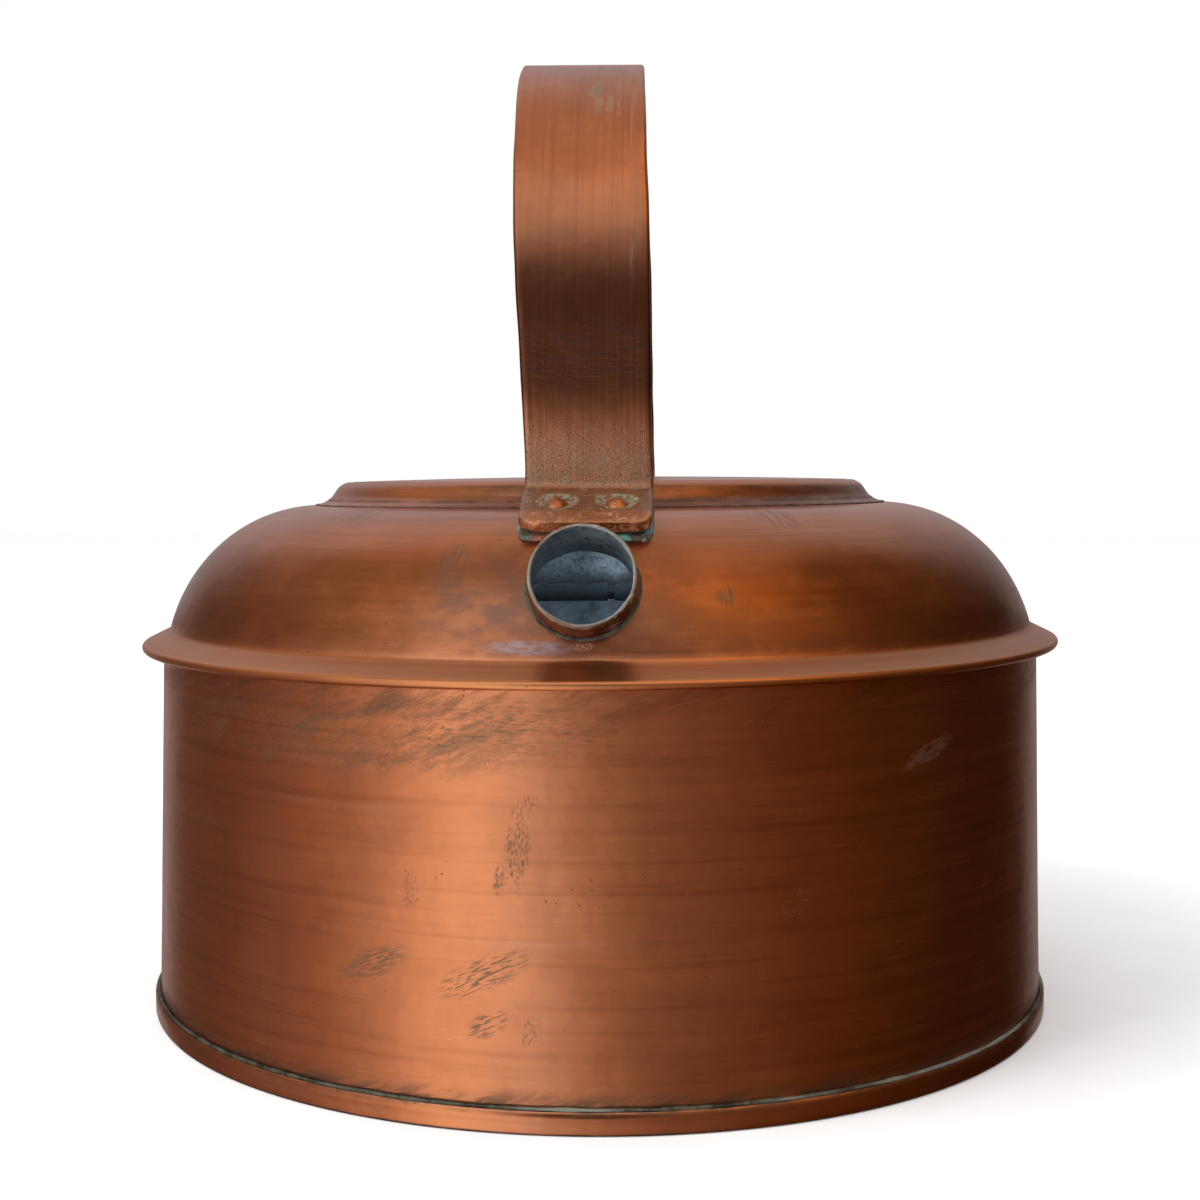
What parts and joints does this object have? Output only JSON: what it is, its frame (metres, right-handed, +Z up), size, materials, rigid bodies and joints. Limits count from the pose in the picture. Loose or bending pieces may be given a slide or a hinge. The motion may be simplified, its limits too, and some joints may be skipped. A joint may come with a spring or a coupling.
{
  "type": "copper stovetop kettle",
  "caption": "Low round copper kettle with a domed shoulder with a folded flange, a short open tube spout, a lift-off lid and a riveted copper strap handle arching from front to back",
  "frame": {"origin": "centre of the kettle's round underside, on the surface that it stands on", "axes": "+Z is up along the body's axis, -Y is towards the spout, and the handle's arch lies in the YZ plane, so +X is to the right of someone who looks into the spout"},
  "size_m": [0.257, 0.257, 0.261],
  "materials": {
    "copper_body": "aged satin copper, brushed around",
    "copper_lid": "aged satin copper",
    "copper_handle": "copper brushed along its length",
    "copper_spout": "dark oxidised copper outside, tinned inside",
    "verdigris_copper": "matte copper with green verdigris",
    "tinned_copper": "dull hot-tinned copper",
    "solder": "dull grey-green soft solder",
    "braze": "filed brazing brass"
  },
  "bodies": {
    "kettle": {"base_pan": "copper_body", "base_solder_seam": "solder", "body_wall": "copper_body", "wall_braze_seam": "braze", "shoulder_dome": "copper_body", "neck_ring": "copper_body", "neck_solder_seam": "solder", "spout_tube": "copper_spout", "spout_solder_fillet": "solder", "handle_strap": "copper_handle", "handle_pad_front": "verdigris_copper", "handle_pad_rear": "verdigris_copper", "rivet_front_left": "copper_handle", "rivet_front_right": "copper_handle", "rivet_rear_left": "copper_handle", "rivet_rear_right": "copper_handle", "rove_front_left": "tinned_copper", "rove_front_right": "tinned_copper", "rove_rear_left": "tinned_copper", "rove_rear_right": "tinned_copper"},
    "lid": {"lid_plate": "copper_lid", "lid_skirt": "tinned_copper", "lid_knob": "copper_lid", "knob_rivet": "copper_lid", "knob_rove": "tinned_copper"}
  },
  "joints": [
    {"name": "lid_lift", "type": "slide", "parent": "kettle", "child": "lid", "axis": [0, 0, 1], "range_m": [0, 0.055]}
  ]
}
